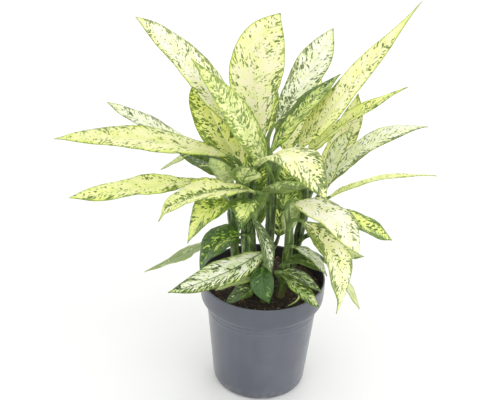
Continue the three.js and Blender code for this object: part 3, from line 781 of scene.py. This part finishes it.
def leaf_paint():
    """The group that paints every blade: its clouded ground, its flecks, its edge and its midrib."""
    tree = bpy.data.node_groups.new("leaf_paint", "ShaderNodeTree")
    face = tree.interface
    for name in ("Pale", "Mid", "Deep", "Rib"):
        face.new_socket(name, in_out="INPUT", socket_type="NodeSocketColor")
    for name in ("Fleck", "Left margin", "Right margin", "Foot", "Tip", "Spine", "Rib share", "Slant",
                 "Seed"):
        face.new_socket(name, in_out="INPUT", socket_type="NodeSocketFloat")
    face.new_socket("Color", in_out="OUTPUT", socket_type="NodeSocketColor")
    face.new_socket("Roughness", in_out="OUTPUT", socket_type="NodeSocketFloat")
    face.new_socket("Normal", in_out="OUTPUT", socket_type="NodeSocketVector")
    g = Graph(tree)
    given = tree.nodes.new("NodeGroupInput").outputs

    vein, across, run = g.parts(g.attribute("vein"))
    slanted = g.add("ShaderNodeMix", {0: given["Slant"], 2: run, 3: vein})
    at = g.add("ShaderNodeCombineXYZ", {0: g.plus(slanted, g.times(given["Seed"], SEED_SHIFT[0])),
                                        1: g.plus(across, g.times(given["Seed"], SEED_SHIFT[1])),
                                        2: given["Seed"]})
    reach, along, under = g.parts(g.attribute("form"))
    ridge, edge, _ = g.parts(g.attribute("line"))

    large = g.noise(g.scaled(at, 0.145, 0.112, 1), detail=2.2, roughness=0.58, distortion=0.9)
    small = g.noise(g.scaled(at, 0.31, 0.23, 1), detail=1.2, distortion=0.5)
    cloud = g.noise(g.scaled(at, 0.075, 0.05, 1), detail=3.0)
    patch = g.noise(g.scaled(at, 0.045, 0.045, 1), detail=2.0)

    right = g.step(across, -2.0, 2.0)
    margin = g.add("ShaderNodeMix", {0: right, 2: given["Left margin"], 3: given["Right margin"]})
    outer = g.step(reach, 0.35, 1.05)
    density = g.plus(given["Fleck"], g.times(margin, outer))
    inner = g.fade(reach, 0.0, 0.45)
    density = g.plus(density, g.times(given["Spine"], inner))
    foot = g.fade(along, 0.0, 0.5)
    density = g.plus(density, g.times(given["Foot"], foot))
    density = g.plus(density, g.times(given["Tip"], g.step(along, 0.6, 1.0)))
    density = g.plus(density, g.times(g.minus(patch, 0.5), 1.4))
    limit = g.minus(0.67, g.times(density, 0.31))
    value = g.math("MAXIMUM", large, small)
    above = g.minus(value, limit)
    deep = g.step(above, -0.006, 0.016)
    mid = g.step(above, -0.09, 0.0)

    tint = g.times(g.step(cloud, 0.4, 0.66), 0.6)
    border = g.fade(edge, 0.5, 7.0)
    tint = g.math("ADD", tint, g.times(border, 0.8), clamp=True)
    ground = g.mix(tint, given["Pale"], given["Mid"])
    hem = g.fade(edge, 0.6, 4.5)
    hem = g.times(hem, g.times(g.step(cloud, 0.36, 0.58), 0.6))
    ground = g.mix(hem, ground, linear(188, 212, 92))
    color = g.tinted(ground, mid, 0.75, given["Mid"])
    deeper = g.mix(g.step(small, 0.62, 0.4), given["Deep"], g.mix(0.3, given["Deep"], given["Mid"]))
    color = g.tinted(color, deep, 0.96, deeper)
    rim = g.fade(edge, 0.35, 1.8)
    color = g.tinted(color, rim, 0.8, given["Deep"])
    color = g.tinted(color, g.step(ridge, 0.25, 0.9), given["Rib share"], given["Rib"])
    color = g.tinted(color, under, 0.35, linear(176, 192, 124))

    ribbed = g.math("SINE", g.times(vein, math.tau / VEIN_SPACING))
    height = g.plus(g.times(ribbed, 0.2), small)
    normal = g.bump(height, 0.00016, 0.55)
    roughness = g.plus(0.4, g.times(large, 0.18))
    result = tree.nodes.new("NodeGroupOutput")
    for name, socket in (("Color", color), ("Roughness", roughness), ("Normal", normal)):
        tree.links.new(socket, result.inputs[name])
    return tree


def leaf_material(row, paint):
    material, g = new_material(f"leaf_{row['seed']:02d}")
    node = material.node_tree.nodes.new("ShaderNodeGroup")
    node.node_tree = paint
    pale, mid, deep, _ = PAINTS[row["paint"]]
    for name, color in (("Pale", pale), ("Mid", mid), ("Deep", deep), ("Rib", row["rib_color"])):
        node.inputs[name].default_value = linear(*color)
    left, right = row["margins"]
    values = {"Fleck": row["fleck"], "Left margin": left, "Right margin": right, "Foot": row["foot"],
              "Tip": row["end"], "Spine": row["spine"], "Rib share": row["rib"], "Seed": float(row["seed"]),
              "Slant": SLANTED.get(row["paint"], USUAL_SLANT)}
    for name, value in values.items():
        node.inputs[name].default_value = value
    g.surface(node.outputs["Color"], node.outputs["Roughness"], node.outputs["Normal"],
              Subsurface_Weight=0.85, Subsurface_Radius=(1.0, 1.0, 0.45), Subsurface_Scale=0.002)
    return material


# The slot of each blade, by its number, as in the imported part; the rest have leaf_green.
SLOTS = {
    "leaf_cream": (1, 4, 6, 9, 13, 14, 15, 21, 25, 38, 43, 46),
    "leaf_yellow_green": (2, 3, 8, 12, 19, 20, 22, 23, 37, 44, 49),
    "leaf_white": (5, 10, 11, 18, 30, 34, 40),
}


def make_blades():
    paint = leaf_paint()
    for row in LEAVES:
        vertices, faces, coordinates = blade_parts(row)
        obj = new_object(f"blade_{row['seed']:02d}", vertices * MM, faces, leaf_material(row, paint),
                         BLADE_CREASE)
        for name, values in coordinates.items():
            attribute = obj.data.attributes.new(name, "FLOAT_VECTOR", "POINT")
            attribute.data.foreach_set("vector", values.astype(np.float32).ravel())
        slot = next((slot for slot, numbers in SLOTS.items() if row["seed"] in numbers), "leaf_green")
        place(obj, slot, f"leaf_{row['seed']:02d}")


# ---------------------------------------------------------------- soil

SOIL_EDGE = 80.3
SOIL_FOOT = FLOOR_TOP + 0.4
SOIL_RINGS = 74
SOIL_SIDES = 220
LOOSE_RADIUS = 78
LOOSE_GRAIN = 900
# Loose pieces on the soil: name, count, sizes, shape, darkest and palest colour.
LOOSE = (
    ("soil_crumbs", 1500, (0.8, 2.2), (0.7, 1.0, 0.7), (32, 28, 24), (90, 75, 64)),
    ("soil_bark", 230, (1.8, 4.6), (1.0, 0.6, 0.3), (70, 50, 41), (120, 90, 72)),
    ("soil_fibres", 110, (2.6, 6.5), (1.0, 0.12, 0.1), (120, 100, 80), (190, 168, 140)),
    ("soil_chips", 26, (2.0, 4.0), (1.0, 0.7, 0.35), (138, 104, 82), (188, 152, 126)),
)


def soil_height(x, y):
    """The uneven surface: highest among the canes, lowest at the pot's wall, with lumps."""
    r = math.hypot(x, y)
    level = np.interp(r / SOIL_EDGE, [0, 0.35, 0.6, 0.82, 0.96, 1], [147.4, 148, 146.2, 147.2, 144.8, 143.6])
    at = Vector((x / 11, y / 11, 3.7))
    lumps = noise.fractal(at, 0.9, 2.1, 4) * 1.5
    return level + lumps


def soil_material(name, dark, light, scale):
    material, g = new_material(name)
    at = g.point()
    crumb = g.noise(at, scale=scale, detail=5, roughness=0.7)
    damp = g.noise(at, scale=scale / 9, detail=3)
    color = g.mix(g.step(crumb, 0.35, 0.7), linear(*dark), linear(*light))
    color = g.tinted(color, g.step(damp, 0.4, 0.7), 0.5, linear(*[v * 0.6 for v in dark]))
    normal = g.bump(crumb, 0.0012, 0.9)
    g.surface(color, g.plus(0.75, g.times(crumb, 0.25)), normal)
    return material


def clear_spot(draw):
    """A random point on the soil that is clear of the canes, or the last of 20 tries."""
    for _ in range(20):
        x, y, _ = on_circle(LOOSE_RADIUS * math.sqrt(draw.random()), draw.uniform(0, math.tau))
        if min(math.hypot(x - foot[0], y - foot[1]) - radius for foot, _, radius in SHOOTS.values()) > 1:
            break
    return x, y


def make_loose(name, count, sizes, shape, dark, light, draw):
    """Lumps of one kind strewn over the soil, as one object."""
    bm = bmesh.new()
    for _ in range(count):
        x, y = clear_spot(draw)
        size = draw.uniform(*sizes)
        made = bmesh.ops.create_icosphere(bm, subdivisions=1, radius=1)["verts"]
        turn = Quaternion((draw.gauss(0, 0.25), draw.gauss(0, 0.25), 1), draw.uniform(0, math.tau))
        tilt = Quaternion((draw.uniform(-1, 1), draw.uniform(-1, 1), 0), draw.gauss(0, 0.35))
        at = Vector((x, y, soil_height(x, y) + 0.25 * size * shape[2]))
        for vertex in made:
            p = Vector([c * s * size * draw.uniform(0.72, 1.2) for c, s in zip(vertex.co, shape)])
            vertex.co = (at + turn @ (tilt @ p)) * MM
    mesh = bpy.data.meshes.new(name)
    bm.to_mesh(mesh)
    bm.free()
    mesh.materials.append(soil_material(name, dark, light, LOOSE_GRAIN))
    place(linked(name, mesh), "potting_soil")


def make_soil():
    """The soil bed, from its uneven top down to the pot's floor, and the loose pieces on it."""
    vertices = []
    for i in range(1, SOIL_RINGS + 1):
        r = SOIL_EDGE * (i / SOIL_RINGS) ** 0.9
        for j in range(SOIL_SIDES):
            x, y, _ = on_circle(r, j / SOIL_SIDES * math.tau)
            vertices.append((x, y, soil_height(x, y)))
    wall = ((79.6, 139), (78.8, 134), (73, SHOULDER_HEIGHT), (62, 10.5), (57.5, SOIL_FOOT))
    vertices += [on_circle(r, j / SOIL_SIDES * math.tau, z) for r, z in wall for j in range(SOIL_SIDES)]
    vertices += [(0, 0, soil_height(0, 0)), (0, 0, SOIL_FOOT)]
    faces = [face[::-1] for face in tube_faces(SOIL_RINGS + len(wall), SOIL_SIDES)]
    peat = soil_material("damp_peat", (34, 30, 26), (100, 85, 74), 700)
    bed = new_object("soil_bed", np.array(vertices) * MM, faces, peat, sharp_angle=180)
    place(bed, "potting_soil", "soil")
    draw = random.Random(41)
    for kind in LOOSE:
        make_loose(*kind, draw)


make_camera()
make_stage()
make_pot()
make_soil()
make_shoots()
make_blades()
